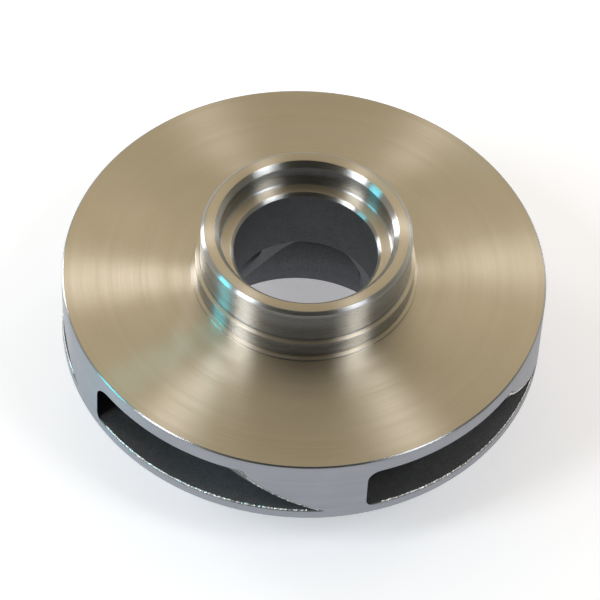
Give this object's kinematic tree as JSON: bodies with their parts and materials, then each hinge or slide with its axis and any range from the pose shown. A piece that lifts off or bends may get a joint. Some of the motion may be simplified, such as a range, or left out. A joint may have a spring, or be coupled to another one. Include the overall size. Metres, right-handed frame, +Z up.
{
  "type": "closed centrifugal pump impeller",
  "caption": "Closed centrifugal pump impeller: backward-curved vanes between two shrouds, a stepped turned neck on top, a suction neck below and a bore right through.",
  "frame": {"origin": "on the axis, at the foot of the suction neck that the impeller stands on", "axes": "+Z up along the axis, through the suction neck, the bore and the upper neck; vane_1 reaches the rim at the front, -Y"},
  "size_m": [0.2, 0.2, 0.0902],
  "materials": {
    "machined_stainless": "turned stainless steel, fine concentric tool marks, soft sheen in radial bands",
    "cast_stainless": "as-cast stainless steel inside the passages, dark grey and matte, rim skimmed to a blue-grey satin"
  },
  "bodies": {
    "root": {"upper_shroud": "machined_stainless", "upper_neck": "machined_stainless", "lower_shroud": "cast_stainless", "suction_neck": "machined_stainless", "vane_1": "cast_stainless", "vane_2": "cast_stainless", "vane_3": "cast_stainless", "vane_4": "cast_stainless", "vane_5": "cast_stainless"}
  },
  "joints": []
}
